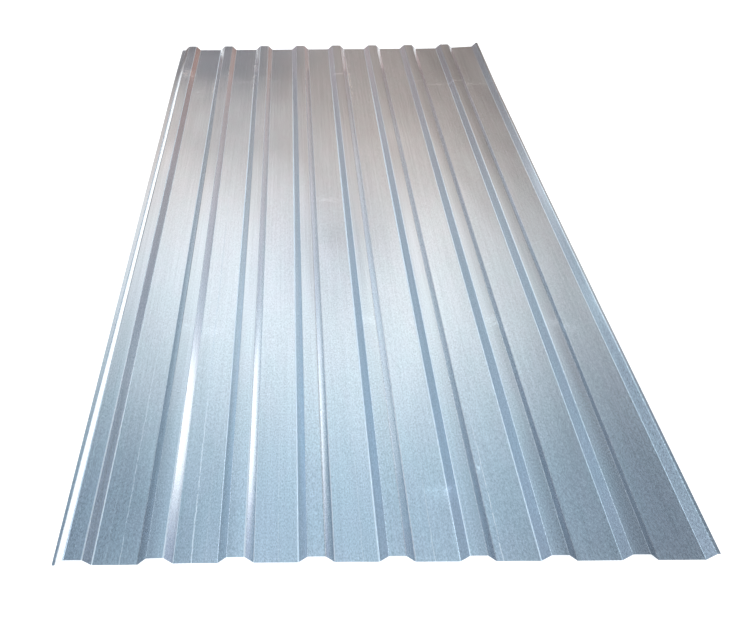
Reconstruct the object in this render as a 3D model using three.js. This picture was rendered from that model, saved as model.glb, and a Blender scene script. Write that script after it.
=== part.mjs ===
// Trapezoidal corrugated roofing sheet, roll-formed in one piece from galvanised steel coil.
//
// Millimetres, +Z up. X runs across the ribs and Y along them. The origin is under the middle of
// the sheet, on the plane that the undersides of its valleys rest on.
//
// From left to right the section is a narrow underlap lip at valley level, then eight pitches,
// each a rib followed by a valley, then one last flank that climbs to the overlap flange. The
// flank and flange lap over the first rib of the next sheet.
import * as THREE from 'three';

// Driving dimensions
const LENGTH = 2000;
const RIB_COUNT = 8;
const PITCH = 110; // from one rib to the next
const DEPTH = 12; // from the underside of a valley to the top of a crown
const THICKNESS = 0.45;
const CROWN_WIDTH = 24; // flat top of a rib, from fold to fold
const FLANK_RUN = 12.5; // level distance that a sloping flank covers
const LIP_WIDTH = 7;
const FLANGE_WIDTH = 4.5;
const BEND_RADIUS = 2; // to the middle of the metal
const HALF_BEND_SEGMENTS = 2; // an arc is drawn with twice as many chords

// Derived dimensions
const HALF_THICKNESS = THICKNESS / 2;
const VALLEY_LEVEL = HALF_THICKNESS;
const CROWN_LEVEL = DEPTH - HALF_THICKNESS;
const WIDTH = LIP_WIDTH + RIB_COUNT * PITCH + FLANK_RUN + FLANGE_WIDTH;

// The line along the middle of the metal with its folds still sharp, from the left edge
function foldLine() {
  let x = -WIDTH / 2;
  const points = [new THREE.Vector2(x, VALLEY_LEVEL)];
  x += LIP_WIDTH;
  for (let rib = 0; rib < RIB_COUNT; rib++) {
    points.push(new THREE.Vector2(x, VALLEY_LEVEL));
    points.push(new THREE.Vector2(x + FLANK_RUN, CROWN_LEVEL));
    points.push(new THREE.Vector2(x + FLANK_RUN + CROWN_WIDTH, CROWN_LEVEL));
    points.push(new THREE.Vector2(x + 2 * FLANK_RUN + CROWN_WIDTH, VALLEY_LEVEL));
    x += PITCH;
  }
  points.push(new THREE.Vector2(x, VALLEY_LEVEL));
  points.push(new THREE.Vector2(x + FLANK_RUN, CROWN_LEVEL));
  points.push(new THREE.Vector2(WIDTH / 2, CROWN_LEVEL));
  return points;
}

// One bend for each fold: its centre, which way it turns, and where its arc starts and ends
function bendAt(before, fold, after) {
  const headingIn = fold.clone().sub(before).angle();
  const headingOut = after.clone().sub(fold).angle();
  const turn = Math.atan2(Math.sin(headingOut - headingIn), Math.cos(headingOut - headingIn));
  const side = Math.sign(turn); // +1 bends upwards, with its centre above the metal
  const towardsCentre = headingIn + turn / 2 + (side * Math.PI) / 2;
  const reach = BEND_RADIUS / Math.cos(turn / 2);
  return {
    side,
    centre: new THREE.Vector2(
      fold.x + reach * Math.cos(towardsCentre),
      fold.y + reach * Math.sin(towardsCentre),
    ),
    start: headingIn - (side * Math.PI) / 2,
    end: headingIn + turn - (side * Math.PI) / 2,
  };
}

// Closed outline of the bent strip: along its top face to the right, and back along its underside
function sectionShape() {
  const line = foldLine();
  const bends = line.slice(1, -1).map((fold, i) => bendAt(line[i], fold, line[i + 2]));
  const left = line[0];
  const right = line[line.length - 1];

  const shape = new THREE.Shape();
  shape.moveTo(left.x, left.y + HALF_THICKNESS);
  for (const { side, centre, start, end } of bends) {
    const radius = BEND_RADIUS - side * HALF_THICKNESS;
    shape.absarc(centre.x, centre.y, radius, start, end, side < 0);
  }
  shape.lineTo(right.x, right.y + HALF_THICKNESS);
  shape.lineTo(right.x, right.y - HALF_THICKNESS);
  for (const { side, centre, start, end } of bends.reverse()) {
    const radius = BEND_RADIUS + side * HALF_THICKNESS;
    shape.absarc(centre.x, centre.y, radius, end, start, side > 0);
  }
  shape.lineTo(left.x, left.y - HALF_THICKNESS);
  return shape;
}

function corrugatedSheet() {
  const geometry = new THREE.ExtrudeGeometry(sectionShape(), {
    depth: LENGTH,
    steps: 1,
    curveSegments: HALF_BEND_SEGMENTS,
    bevelEnabled: false,
  });
  geometry.rotateX(Math.PI / 2);
  geometry.translate(0, LENGTH / 2, 0);
  return geometry;
}

const galvanisedSteel = new THREE.MeshStandardMaterial({
  color: 0xa9b7c1,
  roughness: 0.38,
  metalness: 1,
});

const sheet = new THREE.Mesh(corrugatedSheet(), galvanisedSteel);
sheet.name = 'corrugated_sheet';

const part = new THREE.Group();
part.add(sheet);

export default part;
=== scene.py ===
"""Galvanised trapezoidal roofing sheet lying on a pale studio floor.

Metres, +Z up, Y along the ribs.
"""

import math

import bpy
import numpy as np
from mathutils import Matrix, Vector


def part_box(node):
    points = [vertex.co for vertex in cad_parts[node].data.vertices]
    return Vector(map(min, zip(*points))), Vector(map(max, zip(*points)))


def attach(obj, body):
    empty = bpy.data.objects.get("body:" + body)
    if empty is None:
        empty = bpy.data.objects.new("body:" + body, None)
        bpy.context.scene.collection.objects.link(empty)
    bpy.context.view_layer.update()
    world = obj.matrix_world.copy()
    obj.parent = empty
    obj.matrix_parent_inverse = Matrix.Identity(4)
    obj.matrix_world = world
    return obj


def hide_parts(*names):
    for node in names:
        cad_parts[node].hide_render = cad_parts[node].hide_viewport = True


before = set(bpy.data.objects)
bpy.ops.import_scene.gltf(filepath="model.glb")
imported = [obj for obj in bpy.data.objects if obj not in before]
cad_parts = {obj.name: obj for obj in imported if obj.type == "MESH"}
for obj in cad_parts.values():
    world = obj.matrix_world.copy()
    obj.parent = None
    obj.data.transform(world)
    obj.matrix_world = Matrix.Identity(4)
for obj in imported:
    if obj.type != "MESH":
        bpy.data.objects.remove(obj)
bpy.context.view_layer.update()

# ---------------------------------------------------------------------------------------------
# Driving sizes
# ---------------------------------------------------------------------------------------------

LOW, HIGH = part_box("corrugated_sheet")
LENGTH = HIGH.y - LOW.y
DEPTH = HIGH.z - LOW.z
PITCH = 0.110
THICKNESS = 0.00045
CROWN_WIDTH = 0.024
FLANK_RUN = 0.0125
LIP_WIDTH = 0.007
FLANGE_WIDTH = 0.0045

# How finely the sheet is drawn
BEND_STEPS = 6
FLAT_STEP = 0.009
CROWN_STEP = 0.004
FLANK_STEP = 0.002
STATION_STEP = 0.0182
SUPPORT_GAP = 0.0004  # keeps smooth shading off the flats beside a bend
SHARP_ANGLE = math.radians(50)

# How far each rib's four folds, from the left foot to the right foot, have sprung sideways
FOLD_DRIFT = (
    (0.0000, 0.0000, 0.0003, 0.0000),
    (0.0014, 0.0012, 0.0008, 0.0001),
    (0.0000, 0.0000, 0.0006, 0.0000),
    (0.0000, 0.0000, 0.0004, 0.0000),
    (0.0000, 0.0000, -0.0006, 0.0000),
    (0.0000, 0.0000, -0.0003, 0.0000),
    (0.0000, 0.0002, -0.0003, 0.0000),
    (0.0000, 0.0000, 0.0000, 0.0000),
    (0.0000, 0.0000),
)

# The bend radius at each of them
FOLD_RADIUS = (
    (0.0015, 0.0025, 0.0022, 0.0022),
    (0.0026, 0.0015, 0.0025, 0.0010),
    (0.0035, 0.0018, 0.0030, 0.0010),
    (0.0040, 0.0018, 0.0045, 0.0022),
    (0.0040, 0.0025, 0.0020, 0.0030),
    (0.0038, 0.0025, 0.0012, 0.0020),
    (0.0028, 0.0025, 0.0014, 0.0018),
    (0.0020, 0.0026, 0.0012, 0.0017),
    (0.0014, 0.0022),
)

# How much each of them is lightened, partly as burnish and partly as a painted highlight, or below 0
# how much painted shade darkens it: at the near end, halfway along and at the far end
FOLD_BURNISH_AND_PAINTED_LIGHT = (
    ((-0.9, 0.2, 0.2), (0.3, -1.3, 0.1), (0.4, 1.0, 0.5), (1.0, 0.7, 0.3)),
    ((-0.9, 0.5, 0.8), (-0.4, -1.0, 0.5), (1.0, 0.6, 0.2), (1.0, 1.0, 0.6)),
    ((0.1, 1.0, 0.0), (0.0, -0.5, 0.6), (1.0, 0.6, 0.4), (1.0, 1.0, 0.5)),
    ((0.5, 1.0, -0.2), (-0.2, -0.1, 0.0), (0.05, 0.5, 0.2), (0.6, 0.6, 0.4)),
    ((0.6, 1.0, -0.2), (0.0, 0.5, -0.2), (0.0, 0.0, -0.3), (0.4, 0.6, 0.4)),
    ((0.2, 1.0, -0.1), (0.4, 0.4, -0.1), (0.2, -0.2, -0.4), (-0.1, 0.5, 0.2)),
    ((0.4, 0.3, -0.3), (-0.1, 0.5, -0.4), (0.2, -0.2, -0.1), (-0.3, 0.3, 0.1)),
    ((0.0, 0.6, 0.1), (-0.4, 0.4, -0.4), (0.0, -0.9, -0.2), (-0.5, 0.5, 0.2)),
    ((0.2, 0.4, -0.1), (-0.5, 0.9, -1.0)),
)

# How far each crown leans down to the right
CROWN_LEAN = (0.00000, 0.00000, 0.00000, 0.00000, 0.00005, 0.00010, 0.00020, 0.00020, 0.00000)

# How far the middle of each rib's right flank bulges, and the middle of every crown and valley
FLANK_BULGE = (0.00000, -0.00006, 0.00014, 0.00016, 0.00000, 0.00000, 0.00000, 0.00000)
CROWN_BULGE = 0.00016
VALLEY_BULGE = 0.00008

# Rub marks along the sheet: place across it, half width, where along it they begin to fade, where
# they have gone, and strength
SCRATCHES = (
    (-0.3590, 0.0013, -0.70, -0.20, 0.36),
    (-0.3790, 0.0012, -0.95, -0.60, 0.16),
    (-0.2615, 0.0014, -0.60, 0.30, 0.90),
    (-0.2420, 0.0012, -0.90, -0.60, 0.25),
    (-0.1425, 0.0012, -0.85, -0.40, 0.35),
    (-0.0270, 0.0012, -0.50, 0.40, 0.30),
    (0.0710, 0.0012, -0.92, -0.75, 0.60),
    (0.1640, 0.0012, -0.84, -0.60, 0.90),
)

# Painted light and shade on the metal, lighter and darker patches that stand in for reflections:
# middle and reach, each across and along the sheet, and how much lighter or darker it is there
PAINTED_LIGHT_PATCHES = (
    ((0.390, 0.880), (0.110, 0.170), -0.26),  # painted shade at the far corners, and painted light and shade near both ends
    ((0.406, 0.860), (0.030, 0.150), -0.09),
    ((-0.360, 0.990), (0.060, 0.040), -0.05),
    ((0.295, 0.990), (0.024, 0.050), -0.08),
    ((0.3675, 0.990), (0.005, 0.022), 0.35),
    ((-0.421, 0.975), (0.018, 0.045), -0.18),
    ((-0.315, 0.985), (0.060, 0.035), -0.08),
    ((-0.080, 0.985), (0.050, 0.030), 0.08),
    ((-0.366, -0.900), (0.034, 0.140), -0.08),
    ((0.330, -0.985), (0.120, 0.045), -0.07),
    ((-0.421, 0.260), (0.016, 0.110), 0.17),  # crowns and valleys painted paler or darker than the rest, as reflected light and shade
    ((-0.421, -0.450), (0.016, 0.180), -0.07),
    ((-0.366, 0.610), (0.034, 0.060), -0.08),
    ((-0.311, 0.420), (0.014, 0.080), -0.11),
    ((-0.256, 0.450), (0.034, 0.070), -0.09),
    ((-0.146, 0.640), (0.034, 0.110), -0.07),
    ((-0.036, -0.130), (0.034, 0.055), -0.09),
    ((0.030, -0.120), (0.024, 0.055), -0.03),
    ((0.020, -0.750), (0.014, 0.300), -0.06),
    ((0.130, -0.150), (0.014, 0.180), 0.08),
    ((0.150, 0.350), (0.050, 0.070), 0.07),
    ((0.185, -0.100), (0.034, 0.120), 0.06),
    ((0.240, -0.850), (0.014, 0.150), -0.08),
    ((0.240, 0.160), (0.014, 0.060), -0.08),
    ((0.240, 0.680), (0.014, 0.110), -0.09),
    ((0.350, 0.000), (0.014, 1.200), -0.06),
    ((0.350, 0.500), (0.014, 0.120), -0.09),
    ((0.405, -0.110), (0.030, 0.130), 0.08),
    ((0.405, 0.310), (0.030, 0.060), -0.07),
    ((0.264, -0.250), (0.006, 0.600), 0.06),  # pale margins beside the right feet, painted reflected light
    ((0.374, -0.250), (0.006, 0.600), 0.07),
    ((0.154, -0.250), (0.006, 0.600), 0.05),
    ((0.429, -0.650), (0.007, 0.450), 0.06),
    ((-0.439, 0.870), (0.007, 0.140), -0.56),  # flanks painted paler or darker than the rest, as reflected light and shade
    ((-0.4025, -0.780), (0.005, 0.280), -0.12),
    ((-0.2925, 0.920), (0.005, 0.140), -0.09),
    ((-0.219, 0.000), (0.005, 0.250), 0.06),
    ((-0.1825, 0.900), (0.005, 0.140), -0.09),
    ((-0.0725, -0.020), (0.005, 0.350), 0.09),
    ((-0.0725, -0.900), (0.005, 0.220), -0.12),
    ((0.0375, 0.060), (0.005, 0.500), 0.26),
    ((0.0375, -0.680), (0.005, 0.180), -0.09),
    ((0.1475, 0.320), (0.005, 0.400), 0.15),
    ((0.2575, 0.150), (0.005, 0.500), -0.18),
    ((0.2575, -0.800), (0.005, 0.090), -0.12),
    ((0.3675, 0.350), (0.005, 0.380), -0.24),
    ((0.3675, -0.750), (0.005, 0.250), -0.15),
    ((0.2210, 0.400), (0.005, 0.120), 0.09),
    ((0.443, 0.050), (0.006, 0.110), 0.12),
    ((0.443, -0.700), (0.006, 0.220), -0.12),
    ((0.443, -0.200), (0.006, 0.090), -0.10),
    ((0.443, 0.600), (0.006, 0.120), -0.10),
    ((0.1590, -0.821), (0.0024, 0.0040), 0.60),  # painted glints at knocks
    ((0.1065, -0.866), (0.0045, 0.0050), 0.30),
    ((0.1010, -0.880), (0.0200, 0.0120), 0.08),
    ((0.0490, 0.7300), (0.0030, 0.0100), 0.25),
    ((0.0475, 0.7900), (0.0030, 0.0080), 0.30),
    ((-0.2225, 0.7700), (0.0030, 0.0100), 0.25),
)
PALE_BLOTCHES = (
    ((-0.250, 0.726), (0.045, 0.010), 0.10),  # paler blotches, most along the crease
    ((-0.175, 0.735), (0.022, 0.006), 0.10),
    ((0.340, 0.708), (0.100, 0.006), 0.14),
    ((0.020, 0.766), (0.022, 0.008), 0.14),
    ((-0.416, 0.771), (0.015, 0.030), 0.72),
    ((-0.300, 0.755), (0.030, 0.016), 0.10),
    ((-0.369, 0.640), (0.022, 0.045), 0.12),
    ((-0.044, 0.031), (0.026, 0.010), 0.10),
    ((-0.318, -0.470), (0.014, 0.012), 0.14),
    ((-0.270, -0.466), (0.020, 0.012), 0.09),
    ((0.017, -0.450), (0.014, 0.014), 0.12),
    ((0.250, -0.453), (0.018, 0.020), 0.14),
    ((0.370, -0.463), (0.026, 0.016), 0.14),
    ((0.090, -0.868), (0.022, 0.010), 0.14),
)
FLECKS = (
    ((-0.334, 0.690), (0.005, 0.080), 0.80),  # paler flecks along the folds near the crease
    ((-0.222, 0.760), (0.006, 0.120), 0.80),
    ((0.047, 0.760), (0.005, 0.110), 0.70),
    ((0.395, 0.720), (0.030, 0.030), 0.12),
)

# The light tent. Colours are red, green and blue, in linear light
WHITE = (1.0, 1.0, 1.0, 1.0)

# The ceiling, by how far ahead of the sheet it is for each metre up
CEILING_FARTHEST = 4.0
CEILING_LOWEST = 0.02
CEILING_STOPS = (
    (0.00, (1.10, 1.12, 1.14)),
    (0.55, (0.95, 1.02, 1.08)),
    (0.86, (0.53, 0.73, 0.92)),
    (1.05, (0.65, 0.87, 1.02)),
    (1.40, (1.32, 1.40, 1.44)),
    (1.62, (1.18, 1.20, 1.23)),
    (1.85, (0.98, 0.88, 0.83)),
    (2.20, (0.74, 0.60, 0.53)),
    (2.55, (0.45, 0.37, 0.33)),
    (3.65, (0.44, 0.35, 0.31)),
    (4.00, (0.66, 0.64, 0.64)),
)

# Its paler, darker and tinted patches: middle and reach, each aside and ahead for each metre up, and
# what they multiply its colour by
CEILING_PATCHES = (
    ((-0.42, 0.80), (0.22, 0.60), (0.25, 0.27, 0.31)),
    ((-0.17, 1.80), (0.19, 0.30), (1.28, 1.33, 1.36)),
    ((-0.25, 3.10), (0.30, 0.42), (0.30, 0.42, 0.62)),
    ((0.105, 1.62), (0.06, 0.20), (0.32, 0.34, 0.39)),
    ((0.64, 1.05), (0.26, 0.60), (0.16, 0.16, 0.20)),
    ((0.75, 2.20), (0.26, 0.90), (0.20, 0.20, 0.22)),
    ((0.58, 0.76), (0.22, 0.13), (0.76, 0.74, 0.74)),
    ((0.60, 3.00), (0.25, 0.60), (0.72, 0.72, 0.72)),
    ((-0.08, 3.00), (0.30, 0.50), (0.92, 0.94, 0.97)),
    ((0.22, 1.40), (0.14, 0.30), (1.14, 1.12, 1.10)),
    ((-0.01, 1.64), (0.07, 0.19), (0.86, 0.865, 0.925)),
    ((-0.30, 1.15), (0.11, 0.45), (0.68, 0.71, 0.73)),
    ((-0.12, 2.31), (0.14, 0.20), (0.55, 0.64, 0.73)),
    ((-0.31, 2.08), (0.05, 0.14), (1.42, 1.38, 1.33)),
    ((0.38, 0.88), (0.14, 0.09), (0.84, 0.84, 0.84)),
    ((-0.28, 2.86), (0.12, 0.28), (0.68, 0.77, 0.86)),
    ((-0.14, 2.62), (0.12, 0.34), (0.93, 1.00, 1.06)),
    ((-0.07, 1.80), (0.13, 0.18), (1.07, 1.07, 1.07)),
    ((0.38, 1.75), (0.16, 0.32), (1.13, 1.12, 1.10)),
    ((0.28, 1.95), (0.08, 0.42), (1.08, 1.08, 1.08)),
    ((0.45, 1.80), (0.09, 1.60), (0.89, 0.91, 0.93)),
    ((-0.05, 1.10), (0.08, 0.22), (1.07, 1.06, 1.06)),
    ((-0.27, 0.93), (0.06, 0.13), (0.84, 0.84, 0.86)),
    ((0.52, 1.60), (0.12, 1.20), (1.04, 1.00, 0.95)),
)

# The left and right wall, by the turn from straight ahead in degrees
WALL_END = 90.0
LEFT_WALL_STOPS = (
    (0, (0.46, 0.37, 0.36)),
    (20, (0.42, 0.40, 0.43)),
    (25, (0.48, 0.49, 0.53)),
    (33, (0.46, 0.58, 0.69)),
    (43, (0.42, 0.58, 0.75)),
    (50, (0.40, 0.49, 0.62)),
    (90, (0.60, 0.66, 0.72)),
)
RIGHT_WALL_STOPS = (
    (0, (0.46, 0.37, 0.36)),
    (20, (0.46, 0.37, 0.34)),
    (25, (0.58, 0.53, 0.54)),
    (31, (0.63, 0.67, 0.76)),
    (38, (0.58, 0.72, 0.90)),
    (50, (0.40, 0.52, 0.68)),
    (90, (0.60, 0.66, 0.72)),
)

# Their patches: middle and reach, each a turn and a height above the horizon in degrees, and what
# they multiply the wall's colour by
LEFT_WALL_PATCHES = (
    ((-25.5, 7.5), (4.5, 3.0), (1.30, 1.28, 1.28)),
    ((-19.5, 6.5), (3.5, 3.5), (1.42, 1.14, 1.00)),
    ((-46.5, 3.9), (5.0, 3.0), (1.08, 1.14, 1.16)),
    ((-46.0, 18.5), (6.0, 3.0), (1.08, 1.14, 1.18)),
    ((-21.0, 13.2), (5.0, 4.0), (0.52, 0.49, 0.48)),
    ((-27.0, 16.5), (2.6, 2.6), (1.45, 1.38, 1.32)),
    ((-23.5, 2.2), (3.4, 2.8), (0.72, 0.72, 0.73)),
    ((-42.0, 3.5), (4.0, 2.6), (1.10, 1.20, 1.22)),
    ((-44.0, 25.5), (8.0, 4.5), (0.72, 0.63, 0.58)),
    ((-37.0, 6.5), (7.0, 2.6), (0.88, 0.90, 0.94)),
    ((-33.0, 0.3), (16.0, 3.0), (1.26, 1.30, 1.36)),
    ((-37.0, 20.0), (7.0, 4.5), (0.86, 0.82, 0.80)),
    ((-30.5, 9.0), (3.0, 6.0), (0.92, 0.93, 0.95)),
)
RIGHT_WALL_PATCHES = (
    ((19.0, 8.0), (4.0, 5.0), (1.04, 0.70, 0.62)),
    ((25.5, 0.3), (5.0, 2.6), (1.50, 1.45, 1.40)),
    ((29.5, 0.3), (5.0, 2.6), (1.34, 1.32, 1.33)),
    ((39.0, 13.5), (6.0, 2.6), (0.85, 0.87, 0.88)),
    ((48.0, 8.0), (3.5, 4.0), (1.52, 1.30, 1.38)),
    ((41.0, 31.0), (6.0, 7.5), (2.80, 2.70, 2.60)),
    ((31.0, 6.0), (6.0, 4.0), (1.01, 0.95, 0.94)),
)

# How far aside, for each metre up, the ceiling gives way to each wall: where it begins and ends
LEFT_WALL_START = (0.45, 0.65)
RIGHT_WALL_START = (0.65, 0.95)

# Heights in degrees over which the right wall darkens, and its strength below and above them
RIGHT_WALL_FADE = (5.0, 12.0, 1.15, 0.55)

# A window low in the right wall: each edge is a fade from its first degree to its second
WINDOW_LEFT, WINDOW_RIGHT = (36.0, 39.0), (44.5, 47.0)
WINDOW_SILL, WINDOW_TOP = (1.8, 5.0), (7.5, 9.5)
WINDOW_COLOUR = (3.4, 3.4, 3.4, 1.0)

# The pale band between the ceiling and the left wall, by how far ahead it is: its colour, and the
# fades at its inner and outer edge
BAND_STOPS = (
    (0.8, (1.90, 2.35, 2.75)),
    (1.6, (1.80, 1.95, 2.05)),
    (2.6, (1.05, 1.03, 1.06)),
)
LEFT_BAND_INNER, LEFT_BAND_OUTER = (0.48, 0.75), (0.95, 1.22)

# The one at the right wall: middle and reach as for the ceiling's patches, and its colour
RIGHT_BAND = ((1.10, 1.7), (0.20, 1.6))
RIGHT_BAND_COLOUR = (1.9, 1.95, 2.0, 1.0)

# What the second and later reflections multiply the walls by: the left one, and the right one below
# the first turn and above the second. Then the turns over which the one gives way to the other
LEFT_WALL_AGAIN = (0.87, 0.87, 0.87, 1.0)
RIGHT_WALL_AGAIN = (28.0, 36.0, 1.22, 0.78)
SIDES_MEET = (-5.0, 5.0)

# What the second reflection multiplies one patch of the tent by, and what the third and later ones
# multiply the rest of the tent and another patch by
SECOND_PATCH = ((0.07, 1.32), (0.07, 0.27))
SECOND_GAIN = (1.30, 1.42, 1.54, 1.0)
LATE_PATCH = ((0.17, 1.05), (0.12, 0.45))
LATE_GAIN = (0.50, 0.50, 0.50, 1.0)
LATE_PATCH_GAIN = (0.70, 0.88, 1.05, 1.0)

# Glossy Depth is 1 at the first reflection, 2 at the second, and so on
AFTER_FIRST, AFTER_SECOND = 1.5, 2.5

rng = np.random.default_rng(7)


# ---------------------------------------------------------------------------------------------
# Node helpers
# ---------------------------------------------------------------------------------------------


def add_node(tree, kind, inputs=None, **settings):
    node = tree.nodes.new(kind)
    for name, value in settings.items():
        setattr(node, name, value)
    for socket, value in (inputs or {}).items():
        if isinstance(value, bpy.types.NodeSocket):
            tree.links.new(value, node.inputs[socket])
        else:
            node.inputs[socket].default_value = value
    return node


def calc(tree, operation, *values):
    inputs = dict(enumerate(values))
    return add_node(tree, "ShaderNodeMath", inputs, operation=operation).outputs[0]


def rescale(tree, value, low, high, to_low=0.0, to_high=1.0):
    """value eased from to_low, at or below low, to to_high, at or above high."""
    inputs = {0: value, 1: low, 2: high, 3: to_low, 4: to_high}
    node = add_node(tree, "ShaderNodeMapRange", inputs, interpolation_type="SMOOTHSTEP")
    return node.outputs[0]


def blend_colours(tree, amount, first, second, mode="MIX"):
    node = add_node(tree, "ShaderNodeMix", data_type="RGBA", blend_type=mode)
    for socket, value in ((0, amount), (6, first), (7, second)):
        if isinstance(value, bpy.types.NodeSocket):
            tree.links.new(value, node.inputs[socket])
        else:
            node.inputs[socket].default_value = value
    return node.outputs[2]


def colour_ramp(tree, value, farthest, stops):
    """Colour by a value from 0 to farthest. stops are (value, (r, g, b)), in linear light."""
    node = add_node(tree, "ShaderNodeValToRGB", {0: calc(tree, "DIVIDE", value, farthest)})
    ramp = node.color_ramp
    ramp.interpolation = "LINEAR"
    while len(ramp.elements) < len(stops):
        ramp.elements.new(0.5)
    for element, (place, colour) in zip(ramp.elements, stops):
        element.position = place / farthest
        element.color = (*colour, 1.0)
    return node.outputs[0]


def between(tree, value, rise, fall):
    """Eased from 0 to 1 over rise = (low, high), and back to 0 over fall = (low, high)."""
    return calc(tree, "MULTIPLY", rescale(tree, value, *rise), rescale(tree, value, *fall, 1.0, 0.0))


def swing(tree, noise, reach, middle):
    """middle, moved up or down by a noise that lies around a half."""
    return calc(tree, "MULTIPLY_ADD", calc(tree, "SUBTRACT", noise, 0.5), reach, middle)


def grey(tree, value):
    return add_node(tree, "ShaderNodeCombineColor", {0: value, 1: value, 2: value}).outputs[0]


def flat_place(tree, across, along):
    """The two values as the x and y of a vector."""
    return add_node(tree, "ShaderNodeCombineXYZ", {0: across, 1: along}).outputs[0]


def soft_patch(tree, place, centre, reach):
    """1 where the flat place is centre, fading to nothing a couple of reaches away."""
    scale = (1 / reach[0], 1 / reach[1], 0.0)
    shift = (-centre[0] / reach[0], -centre[1] / reach[1], 0.0)
    inputs = {0: place, 1: scale, 2: shift}
    off = add_node(tree, "ShaderNodeVectorMath", inputs, operation="MULTIPLY_ADD").outputs[0]
    dot = add_node(tree, "ShaderNodeVectorMath", {0: off, 1: off}, operation="DOT_PRODUCT")
    return calc(tree, "POWER", math.exp(-1), dot.outputs["Value"])


def multiplied(tree, colour, place, patches):
    """colour, multiplied within each patch = (middle, reach, gain) of the flat place by its gain."""
    for centre, reach, gain in patches:
        weight = soft_patch(tree, place, centre, reach)
        colour = blend_colours(tree, weight, colour, (*gain, 1.0), "MULTIPLY")
    return colour


def stretched_noise(tree, place, cell, detail=3.0, roughness=0.55, seed=0.0):
    """Noise whose blotches are about cell = (x, y, z) metres across."""
    shift = (seed, seed * 0.37, seed * 0.71)
    inputs = {"Vector": place, "Location": shift, "Scale": [1 / c for c in cell]}
    scaled = add_node(tree, "ShaderNodeMapping", inputs).outputs[0]
    inputs = {"Vector": scaled, "Scale": 1.0, "Detail": detail, "Roughness": roughness}
    return add_node(tree, "ShaderNodeTexNoise", inputs).outputs[0]


# ---------------------------------------------------------------------------------------------
# The sheet's shape
# ---------------------------------------------------------------------------------------------


def fold_line():
    """Middle of the metal across the sheet, from the left edge, with its folds still sharp."""
    valley, crown = THICKNESS / 2, DEPTH - THICKNESS / 2
    offsets = (0.0, FLANK_RUN, FLANK_RUN + CROWN_WIDTH, 2 * FLANK_RUN + CROWN_WIDTH)
    levels = (valley, crown, crown, valley)
    points = [(LOW.x, valley)]
    for rib, (drifts, lean) in enumerate(zip(FOLD_DRIFT, CROWN_LEAN)):
        foot = LOW.x + LIP_WIDTH + rib * PITCH
        drops = (0.0, 0.0, lean, 0.0)
        points += [
            (foot + off + drift, level - drop)
            for off, drift, level, drop in zip(offsets, drifts, levels, drops)
        ]
    return np.array(points + [(HIGH.x, crown)])


def flattened(rows):
    return [value for row in rows for value in row]


def section():
    """Points across the sheet: place, unit normal, and fold wear and painted light at the near end,
    halfway and far end.
    """
    line = fold_line()
    no_fold_mark = (0.0, 0.0, 0.0)
    fold_burnish_and_painted_light = flattened(FOLD_BURNISH_AND_PAINTED_LIGHT)
    places, normals, wear_and_painted_light = [line[0]], [(0.0, 1.0)], [no_fold_mark]

    def add(place, heading, number):
        places.append(place)
        normals.append((-math.sin(heading), math.cos(heading)))
        wear_and_painted_light.append(no_fold_mark if number is None else fold_burnish_and_painted_light[number])

    def add_flat(end, heading, bulge=0.0, step=FLAT_STEP):
        start = np.array(places[-1])
        span = float(np.linalg.norm(end - start))
        inner = span - 2 * SUPPORT_GAP
        along = (end - start) / span
        outward = np.array([-along[1], along[0]])
        steps = max(1, round(inner / step))
        for k in range(steps + 1):
            travel = SUPPORT_GAP + inner * k / steps
            share = travel / span
            swell = 4 * bulge * share * (1 - share)
            lean = math.atan(4 * bulge * (1 - 2 * share) / span)
            add(start + along * travel + outward * swell, heading + lean, None)

    folds = zip(line, line[1:], line[2:], flattened(FOLD_RADIUS))
    for number, (before, fold, after, radius) in enumerate(folds):
        heading_in = math.atan2(*(fold - before)[::-1])
        heading_out = math.atan2(*(after - fold)[::-1])
        turn = heading_out - heading_in
        side = math.copysign(1.0, turn)
        tangent = radius * math.tan(abs(turn) / 2)
        start = fold - tangent * np.array([math.cos(heading_in), math.sin(heading_in)])
        centre = start + side * radius * np.array([-math.sin(heading_in), math.cos(heading_in)])
        rib, which = divmod(number, 4)
        if which == 0:
            add_flat(start, heading_in, VALLEY_BULGE if rib else 0.0)
        elif which == 2:
            add_flat(start, heading_in, CROWN_BULGE, CROWN_STEP)
        elif which == 3:
            add_flat(start, heading_in, FLANK_BULGE[rib], FLANK_STEP)
        else:
            add_flat(start, heading_in)
        for k in range(BEND_STEPS + 1):
            heading = heading_in + turn * k / BEND_STEPS
            arm = np.array([math.sin(heading), -math.cos(heading)]) * side * radius
            add(centre + arm, heading, number)
    add_flat(line[-1], 0.0)
    add(line[-1], 0.0, None)
    return np.array(places), np.array(normals), np.array(wear_and_painted_light)


def bump_at(x, y, centre, reach):
    """A smooth hill of height 1 at centre, about reach = (x, y) metres wide each way."""
    return np.exp(-(((x - centre[0]) / reach[0]) ** 2) - ((y - centre[1]) / reach[1]) ** 2)


def ease(value, low, high):
    """0 at or below low, 1 at or above high, smooth between."""
    t = np.clip((value - low) / (high - low), 0.0, 1.0)
    return t * t * (3 - 2 * t)


def sway(x, y):
    """How far the sheet is pushed sideways: its ribs are straight, but its outer edges are bowed."""
    bow = -0.0011 - 0.00095 * y + 0.0021 * y * y
    left_foot = 0.0005 + 0.0020 * y
    left_crown = 0.0002 + 0.0014 * y
    foot = LOW.x + LIP_WIDTH
    total = bow + (left_foot - bow) * ease(x, LOW.x, foot)
    total += (left_crown - total) * ease(x, foot, foot + FLANK_RUN)
    total *= 1 - ease(x, LOW.x + 0.022, LOW.x + 0.045)
    right_bow = bow + 0.0020 * ease(-y, 0.2, 1.0)
    return total + right_bow * ease(x, 0.385, 0.432)


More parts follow.
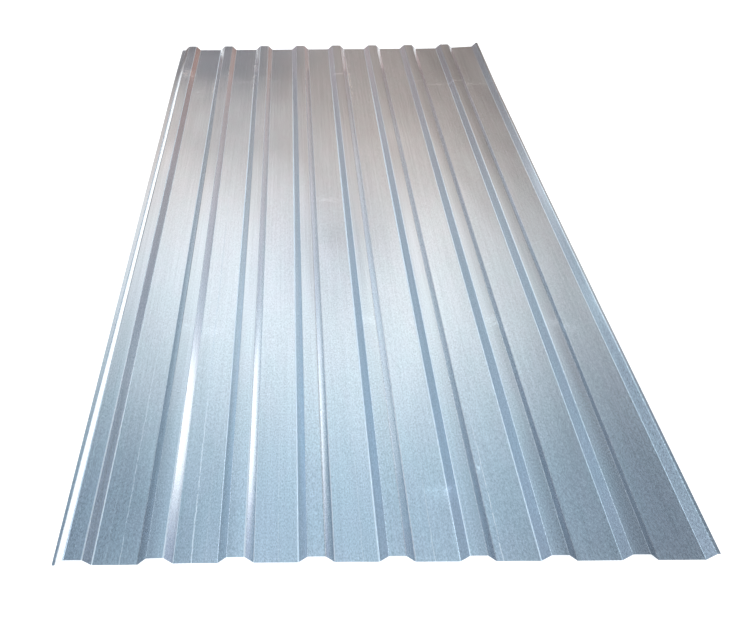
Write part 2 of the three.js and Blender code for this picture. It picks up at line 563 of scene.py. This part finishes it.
def flare(x, y):
    """The free edge on the right leans out a little more in two places."""
    dent_depth = 0.0007
    near_dent = dent_depth * np.exp(-(((y + 0.40) / 0.07) ** 2))
    far_dent = dent_depth * np.exp(-(((y - 0.10) / 0.14) ** 2))
    return -(near_dent + far_dent) * ease(x, HIGH.x - FLANK_RUN - FLANGE_WIDTH, HIGH.x)


def trim(x, y):
    """The near end was not cut quite square at its left corner."""
    return -0.0017 * ease(-x, 0.28, 0.36) * ease(-y, 0.8, 1.0)


def lift(x, y):
    """How far handling has bent the whole sheet up off the floor at each place."""
    far, near = HIGH.y, LOW.y
    corner = 0.0055 * bump_at(x, y, (HIGH.x, far), (0.085, 0.22))
    bowed = 0.0008 * bump_at(x, y, (-0.10, near), (0.16, 0.35))
    return corner + bowed


def droop(x, y):
    """Towards the left of the far end the sheet rises to a crease and falls away past it."""
    crease = 0.745 + 0.012 * np.sin(x * 9.0)
    rise = 0.0032 * ease(y, crease - 0.42, crease + 0.01)
    fall = 0.0036 * ease(y, crease - 0.012, HIGH.y + 0.05)
    return (rise - fall) * ease(-x, -0.02, 0.20)


def flatten(x, y):
    """Share of its height that the first rib has lost, growing towards the near end."""
    most = 0.12
    first_rib = 1 - ease(x, LOW.x + 0.055, LOW.x + 0.075)
    return most * first_rib * ease(-y, 0.45, 1.0)


def ripple(x, y):
    """Fine unevenness of the rolled strip, a fraction of a millimetre."""
    waves = 16
    height, usual_length = 0.00004, 0.4
    total = np.zeros_like(x)
    for _ in range(waves):
        across, along = rng.uniform(0.06, 0.30), rng.uniform(0.16, 0.80)
        phase = rng.uniform(0, 2 * math.pi, 2)
        wave = np.sin(2 * math.pi * x / across + phase[0])
        wave *= np.sin(2 * math.pi * y / along + phase[1])
        total += wave * height * along / usual_length
    return total


def stations():
    count = round(LENGTH / STATION_STEP)
    return np.linspace(LOW.y, HIGH.y, count + 1)


def build_sheet():
    places, normals, wear_and_painted_light = section()
    ys = stations()
    across, along = len(places), len(ys)
    x = np.repeat(places[None, :, 0], along, 0)
    z = np.repeat(places[None, :, 1], along, 0)
    y = np.repeat(ys[:, None], across, 1)
    nx = np.repeat(normals[None, :, 0], along, 0)
    nz = np.repeat(normals[None, :, 1], along, 0)
    z = z - (z - THICKNESS / 2) * flatten(x, y)
    y_cut = y + trim(x, y)
    x_bowed = x + sway(x, y)
    z = z + flare(x, y)
    rise = lift(x, y) + droop(x, y) + ripple(x, y)
    rise -= rise.min()

    def face(side):
        half = side * THICKNESS / 2
        return np.stack([x_bowed + nx * half, y_cut, z + nz * half + rise], -1)

    top, under = face(1), face(-1)
    vertices = np.concatenate([top.reshape(-1, 3), under.reshape(-1, 3)])
    index = np.arange(along * across).reshape(along, across)
    below = index + along * across

    def quads(a, b, c, d):
        return np.stack([a, b, c, d], -1).reshape(-1, 4)

    faces = np.concatenate(
        [
            quads(index[:-1, :-1], index[:-1, 1:], index[1:, 1:], index[1:, :-1]),
            quads(below[:-1, :-1], below[1:, :-1], below[1:, 1:], below[:-1, 1:]),
            quads(index[0, 1:], index[0, :-1], below[0, :-1], below[0, 1:]),
            quads(index[-1, :-1], index[-1, 1:], below[-1, 1:], below[-1, :-1]),
            quads(index[:-1, 0], index[1:, 0], below[1:, 0], below[:-1, 0]),
            quads(index[1:, -1], index[:-1, -1], below[:-1, -1], below[1:, -1]),
        ]
    )
    mesh = bpy.data.meshes.new("sheet_metal")
    mesh.from_pydata(vertices.tolist(), [], faces.tolist())
    mesh.validate()
    mesh.update()
    mesh.polygons.foreach_set("use_smooth", [True] * len(mesh.polygons))
    mesh.set_sharp_from_angle(angle=SHARP_ANGLE)

    # Each point's fold value: above 0 partly burnish and partly a painted highlight, below 0 painted
    # shade along the bend
    fold = mesh.attributes.new("fold", "FLOAT", "POINT")
    fold_mark_places = (LOW.y, 0.0, HIGH.y)
    worn_and_painted_light = np.stack([np.interp(ys, fold_mark_places, row) for row in wear_and_painted_light], 1)
    fold.data.foreach_set("value", np.tile(worn_and_painted_light.ravel(), 2))

    unrolled = np.concatenate([[0], np.cumsum(np.linalg.norm(np.diff(places, axis=0), axis=1))])
    u = np.repeat((unrolled / unrolled[-1])[None, :], along, 0)
    v = np.repeat(((ys - LOW.y) / LENGTH)[:, None], across, 1)
    margin = 0.004
    half_map = 0.5
    top_u = margin + u * (half_map - 2 * margin)
    both_v = margin + v * (1 - 2 * margin)
    sides = [np.stack([side_u, both_v], -1).reshape(-1, 2) for side_u in (top_u, top_u + half_map)]
    map_of = np.concatenate(sides)
    corners = np.empty(len(mesh.loops), np.int32)
    mesh.loops.foreach_get("vertex_index", corners)
    layer = mesh.uv_layers.new(name="OFBake")
    layer.uv.foreach_set("vector", map_of[corners].astype(np.float32).ravel())

    sheet = bpy.data.objects.new("corrugated_sheet_metal", mesh)
    bpy.context.scene.collection.objects.link(sheet)
    return sheet


# ---------------------------------------------------------------------------------------------
# Materials
# ---------------------------------------------------------------------------------------------


def scratches(tree, place, x, y):
    """Long fine rub marks left by the rollers: how strongly each place is rubbed bright."""
    waver = stretched_noise(tree, place, (0.5, 0.035, 0.5), detail=2, seed=41.0)
    broken = stretched_noise(tree, place, (0.012, 0.018, 0.012), detail=2, roughness=0.6, seed=47.0)
    broken = rescale(tree, broken, 0.26, 0.50)
    wander = 0.0035
    x = swing(tree, waver, wander, x)
    total = None
    for middle, half_width, near, far, strength in SCRATCHES:
        off = calc(tree, "ABSOLUTE", calc(tree, "SUBTRACT", x, middle))
        line = rescale(tree, off, 0.0, half_width, strength, 0.0)
        line = calc(tree, "MULTIPLY", line, rescale(tree, y, near, far, 1.0, 0.0))
        total = line if total is None else calc(tree, "ADD", total, line)
    return calc(tree, "MULTIPLY", total, broken)


def painted_light_and_marks(tree, place, x, y):
    """Painted light and shade, with pale blotches and flecks: how much lighter or darker than clean
    metal each place is.
    """
    blotch = stretched_noise(tree, place, (0.012, 0.010, 0.012), detail=3, roughness=0.7, seed=53.0)
    blotch = rescale(tree, blotch, 0.38, 0.66, 0.35, 1.65)
    fleck = stretched_noise(tree, place, (0.004, 0.010, 0.004), detail=1, roughness=0.6, seed=59.0)
    fleck = rescale(tree, fleck, 0.52, 0.68, 0.0, 2.5)
    spot = flat_place(tree, x, y)
    total = None
    for marks, texture in ((PAINTED_LIGHT_PATCHES, None), (PALE_BLOTCHES, blotch), (FLECKS, fleck)):
        layer = None
        for centre, reach, strength in marks:
            mark = calc(tree, "MULTIPLY", soft_patch(tree, spot, centre, reach), strength)
            layer = mark if layer is None else calc(tree, "ADD", layer, mark)
        if texture is not None:
            layer = calc(tree, "MULTIPLY", layer, texture)
        total = layer if total is None else calc(tree, "ADD", total, layer)
    return total


def galvanised_steel():
    material = bpy.data.materials.new("galvanised_steel")
    material.use_nodes = True
    tree = material.node_tree
    tree.nodes.clear()
    coordinates = add_node(tree, "ShaderNodeTexCoord")
    place = coordinates.outputs["Object"]

    x, y, _ = add_node(tree, "ShaderNodeSeparateXYZ", {0: place}).outputs
    grain_cell, streak_cell = (0.0018, 0.0042, 0.0018), (0.0040, 0.4, 0.0040)
    grain = stretched_noise(tree, place, grain_cell, detail=3, roughness=0.65, seed=3.0)
    streak = stretched_noise(tree, place, streak_cell, detail=2, roughness=0.65, seed=11.0)
    cloud = stretched_noise(tree, place, (0.10, 0.35, 0.10), detail=3, seed=23.0)
    mottle = stretched_noise(tree, place, (0.035, 0.09, 0.035), detail=2, seed=31.0)
    fold = add_node(tree, "ShaderNodeAttribute", attribute_name="fold").outputs["Fac"]
    marks = scratches(tree, place, x, y)
    painted_light_and_marks_tone = painted_light_and_marks(tree, place, x, y)

    zinc = (0.66, 0.70, 0.73, 1.0)
    # Pale metal: the colour of rub marks, and of the highlights painted on the bends
    worn_and_painted_light = (0.86, 0.94, 0.99, 1.0)
    tilt = add_node(tree, "ShaderNodeSeparateXYZ", {0: coordinates.outputs["Normal"]}).outputs[2]

    # The grain shows less on the flanks, further along and near the sides, and more on the right edge
    level = rescale(tree, calc(tree, "ABSOLUTE", tilt), 0.75, 0.97, 0.80, 1.0)
    spangle = calc(tree, "MULTIPLY", rescale(tree, y, -1.0, 0.1, 1.10, 0.62), level)
    outer = rescale(tree, calc(tree, "ABSOLUTE", x), 0.15, 0.40, 1.0, 0.76)
    outer = calc(tree, "ADD", outer, rescale(tree, x, 0.432, 0.440, 0.0, 0.60))
    spangle = calc(tree, "MULTIPLY", spangle, outer)
    streak_depth, cloud_depth, painted_fold_shade, burnish_and_painted_highlight = 0.26, 0.08, 0.55, 0.9
    shade = swing(tree, grain, spangle, 1.0)
    shade = swing(tree, streak, streak_depth, shade)
    shade = swing(tree, cloud, cloud_depth, shade)
    # Patches of painted light and shade, and pale blotches and flecks, lighten or darken the metal
    shade = calc(tree, "ADD", shade, painted_light_and_marks_tone)
    # Below 0 the fold value darkens the bend: painted shade
    shade = calc(tree, "MULTIPLY_ADD", calc(tree, "MINIMUM", fold, 0.0), painted_fold_shade, shade)
    colour = blend_colours(tree, 1.0, zinc, grey(tree, shade), "MULTIPLY")
    cool, warm = (0.991, 1.005, 1.0, 1.0), (1.009, 0.995, 1.0, 1.0)
    blush = blend_colours(tree, rescale(tree, mottle, 0.35, 0.65), cool, warm)
    colour = blend_colours(tree, 1.0, colour, blush, "MULTIPLY")
    # Rub marks, and the bends' burnish and painted highlight, blend the colour towards pale metal
    rubbed_and_painted_highlight = calc(tree, "MAXIMUM", calc(tree, "MULTIPLY", fold, burnish_and_painted_highlight), marks)
    colour = blend_colours(tree, rubbed_and_painted_highlight, colour, worn_and_painted_light)

    smoothest, grain_roughness, rubbed_roughness = 0.17, 0.06, 0.28
    roughness = calc(tree, "MULTIPLY_ADD", grain, grain_roughness, smoothest)
    roughness = calc(tree, "MULTIPLY_ADD", rubbed_and_painted_highlight, rubbed_roughness, roughness)
    bump = add_node(tree, "ShaderNodeBump", {"Strength": 0.03, "Distance": 0.0002, "Height": grain})
    tangent = add_node(tree, "ShaderNodeTangent", direction_type="UV_MAP", uv_map="OFBake")
    shader = add_node(
        tree,
        "ShaderNodeBsdfPrincipled",
        {
            "Base Color": colour,
            "Metallic": 1.0,
            "Roughness": roughness,
            "Anisotropic": 0.4,
            "Tangent": tangent.outputs[0],
            "Normal": bump.outputs[0],
        },
    )
    add_node(tree, "ShaderNodeOutputMaterial", {"Surface": shader.outputs[0]})
    return material


def floor_past_far_end(tree, across, along):
    """1 on the parts of the floor that the far ends of the ribs mirror dark, fading to 0."""
    left_corner = rescale(tree, across, -0.44, -0.40, 1.0, 0.0)
    left_corner = calc(tree, "MULTIPLY", rescale(tree, along, 0.80, 1.02), left_corner)
    middle = between(tree, across, (-0.25, -0.21), (0.00, 0.04))
    middle = calc(tree, "MULTIPLY", middle, rescale(tree, along, 0.98, 1.01))
    slant = calc(tree, "MULTIPLY_ADD", along, 0.36, across)
    left = rescale(tree, slant, -0.003, 0.017, 1.0, 0.0)
    right = between(tree, slant, (0.07, 0.08), (0.099, 0.121))
    sides = calc(tree, "MAXIMUM", left, right)
    sides = calc(tree, "MULTIPLY", sides, rescale(tree, along, 0.98, 1.00))
    further = rescale(tree, across, 0.22, 0.30, 0.0, 0.03)
    past = rescale(tree, calc(tree, "ADD", along, further), 1.055, 1.11)
    dark = left_corner
    for part in (middle, sides, past):
        dark = calc(tree, "MAXIMUM", dark, part)
    return dark


def pale_floor():
    """Takes the sheet's soft shadow, and shows white to the camera.

    It shows white in the metal too, apart from the part that floor_past_far_end marks, which is dark
    there so that the far ends look as they do in the photograph.
    """
    camera_glow, dark_loss = 0.5, 0.9
    pale_paint, dark_paint = (0.8, 0.8, 0.8, 1.0), (0.25, 0.20, 0.19, 1.0)
    material = bpy.data.materials.new("pale_floor")
    material.use_nodes = True
    tree = material.node_tree
    tree.nodes.clear()
    path = add_node(tree, "ShaderNodeLightPath")
    glossy, through = path.outputs["Is Glossy Ray"], path.outputs["Is Transmission Ray"]
    mirrored = calc(tree, "MAXIMUM", glossy, through)
    place = add_node(tree, "ShaderNodeTexCoord").outputs["Object"]
    across, along, _ = add_node(tree, "ShaderNodeSeparateXYZ", {0: place}).outputs
    dark = calc(tree, "MULTIPLY", mirrored, floor_past_far_end(tree, across, along))
    seen = calc(tree, "MULTIPLY_ADD", path.outputs["Is Camera Ray"], camera_glow, mirrored)
    seen = calc(tree, "SUBTRACT", seen, calc(tree, "MULTIPLY", dark, dark_loss))
    paint = blend_colours(tree, dark, pale_paint, dark_paint)
    matt = add_node(tree, "ShaderNodeBsdfDiffuse", {"Color": paint})
    glow = add_node(tree, "ShaderNodeEmission", {"Strength": seen})
    both = add_node(tree, "ShaderNodeAddShader", {0: matt.outputs[0], 1: glow.outputs[0]})
    add_node(tree, "ShaderNodeOutputMaterial", {"Surface": both.outputs[0]})
    return material


# ---------------------------------------------------------------------------------------------
# Studio
# ---------------------------------------------------------------------------------------------


def make_floor():
    mesh = bpy.data.meshes.new("studio_floor")
    reach = 40.0
    level = -0.0003
    signs = ((-1, -1), (1, -1), (1, 1), (-1, 1))
    corners = [(reach * x, reach * y, level) for x, y in signs]
    mesh.from_pydata(corners, [], [(0, 1, 2, 3)])
    mesh.materials.append(pale_floor())
    floor = bpy.data.objects.new("studio_floor", mesh)
    bpy.context.scene.collection.objects.link(floor)


def walls_of_tent(tree, turn, height, again):
    """The left and right wall, with a window low in the right one that only first reflections show."""
    aside = calc(tree, "ABSOLUTE", turn)
    place = flat_place(tree, turn, height)
    left = colour_ramp(tree, aside, WALL_END, LEFT_WALL_STOPS)
    left = multiplied(tree, left, place, LEFT_WALL_PATCHES)
    right = colour_ramp(tree, aside, WALL_END, RIGHT_WALL_STOPS)
    dim = grey(tree, rescale(tree, height, *RIGHT_WALL_FADE))
    right = blend_colours(tree, 1.0, right, dim, "MULTIPLY")
    right = multiplied(tree, right, place, RIGHT_WALL_PATCHES)
    wide = between(tree, turn, WINDOW_LEFT, WINDOW_RIGHT)
    tall = between(tree, height, WINDOW_SILL, WINDOW_TOP)
    window = calc(tree, "MULTIPLY", wide, tall)
    window = calc(tree, "MULTIPLY", window, calc(tree, "SUBTRACT", 1.0, again))
    right = blend_colours(tree, window, right, WINDOW_COLOUR)
    colour = blend_colours(tree, calc(tree, "GREATER_THAN", turn, 0.0), left, right)
    dull = rescale(tree, turn, *RIGHT_WALL_AGAIN)
    dull = blend_colours(tree, rescale(tree, turn, *SIDES_MEET), LEFT_WALL_AGAIN, dull)
    return blend_colours(tree, again, colour, dull, "MULTIPLY")


def with_bands(tree, colour, place, leftward, depth):
    """colour, with a pale band at each wall: only the bends are tilted enough to show them."""
    band = colour_ramp(tree, depth, CEILING_FARTHEST, BAND_STOPS)
    inside = between(tree, leftward, LEFT_BAND_INNER, LEFT_BAND_OUTER)
    colour = blend_colours(tree, inside, colour, band)
    return blend_colours(tree, soft_patch(tree, place, *RIGHT_BAND), colour, RIGHT_BAND_COLOUR)


def with_later_gains(tree, colour, place, again, late):
    """colour, as the second and the later reflections show it."""
    second = calc(tree, "MULTIPLY", again, calc(tree, "SUBTRACT", 1.0, late))
    second = calc(tree, "MULTIPLY", second, soft_patch(tree, place, *SECOND_PATCH))
    colour = blend_colours(tree, second, colour, SECOND_GAIN, "MULTIPLY")
    loss = blend_colours(tree, soft_patch(tree, place, *LATE_PATCH), LATE_GAIN, LATE_PATCH_GAIN)
    return blend_colours(tree, late, colour, loss, "MULTIPLY")


def light_the_world():
    """A light tent that shows only in reflections: a ceiling with a bright band across it, and walls.

    Matt surfaces and the camera get plain white. The tent is the same ahead and behind.
    """
    world = bpy.data.worlds.new("light_tent")
    bpy.context.scene.world = world
    world.use_nodes = True
    tree = world.node_tree
    tree.nodes.clear()
    direction = add_node(tree, "ShaderNodeTexCoord").outputs["Generated"]
    dx, dy, dz = add_node(tree, "ShaderNodeSeparateXYZ", {0: direction}).outputs
    front = calc(tree, "ABSOLUTE", dy)
    path = add_node(tree, "ShaderNodeLightPath")
    again = calc(tree, "GREATER_THAN", path.outputs["Glossy Depth"], AFTER_FIRST)
    late = calc(tree, "GREATER_THAN", path.outputs["Glossy Depth"], AFTER_SECOND)

    above = calc(tree, "MAXIMUM", dz, CEILING_LOWEST)
    aside = calc(tree, "DIVIDE", dx, above)
    ahead = calc(tree, "DIVIDE", front, above)
    place = flat_place(tree, aside, ahead)
    colour = colour_ramp(tree, ahead, CEILING_FARTHEST, CEILING_STOPS)
    colour = multiplied(tree, colour, place, CEILING_PATCHES)

    degrees = 180 / math.pi
    turn = calc(tree, "MULTIPLY", calc(tree, "ARCTAN2", dx, front), degrees)
    height = calc(tree, "MULTIPLY", calc(tree, "ARCSINE", dz), degrees)
    walls = walls_of_tent(tree, turn, height, again)
    leftward = calc(tree, "MULTIPLY", aside, -1.0)
    on_left = rescale(tree, leftward, *LEFT_WALL_START)
    on_wall = calc(tree, "ADD", on_left, rescale(tree, aside, *RIGHT_WALL_START))
    colour = blend_colours(tree, on_wall, colour, walls)

    square = calc(tree, "MULTIPLY_ADD", dx, dx, calc(tree, "MULTIPLY", dz, dz))
    depth = calc(tree, "DIVIDE", front, calc(tree, "POWER", square, 0.5))
    colour = with_bands(tree, colour, place, leftward, depth)
    colour = with_later_gains(tree, colour, place, again, late)
    plain = calc(tree, "MAXIMUM", path.outputs["Is Camera Ray"], path.outputs["Is Diffuse Ray"])
    colour = blend_colours(tree, plain, colour, WHITE)
    background = add_node(tree, "ShaderNodeBackground", {"Color": colour, "Strength": 1.0})
    add_node(tree, "ShaderNodeOutputWorld", {"Surface": background.outputs[0]})


def place_camera():
    """The photograph's view. The frame, focal length and column of the optical axis are in pixels."""
    frame_width = 747
    focal_length = 955.0
    axis_column = 292.2
    place = (-0.121, -1.867, 1.024)
    data = bpy.data.cameras.new("camera")
    data.sensor_width = 36.0
    data.lens = data.sensor_width * focal_length / frame_width
    data.shift_x = (frame_width / 2 - axis_column) / frame_width
    camera = bpy.data.objects.new("camera", data)
    bpy.context.scene.collection.objects.link(camera)
    pitch, roll = math.radians(34.90), math.radians(-0.42)
    turn = Matrix.Rotation(math.pi / 2 - pitch, 4, "X") @ Matrix.Rotation(roll, 4, "Z")
    camera.matrix_world = Matrix.Translation(place) @ turn
    bpy.context.scene.camera = camera


place_camera()
make_floor()
light_the_world()

sheet = build_sheet()
sheet.data.materials.append(galvanised_steel())
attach(sheet, "root")
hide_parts("corrugated_sheet")

bpy.context.scene.view_settings.view_transform = "Standard"
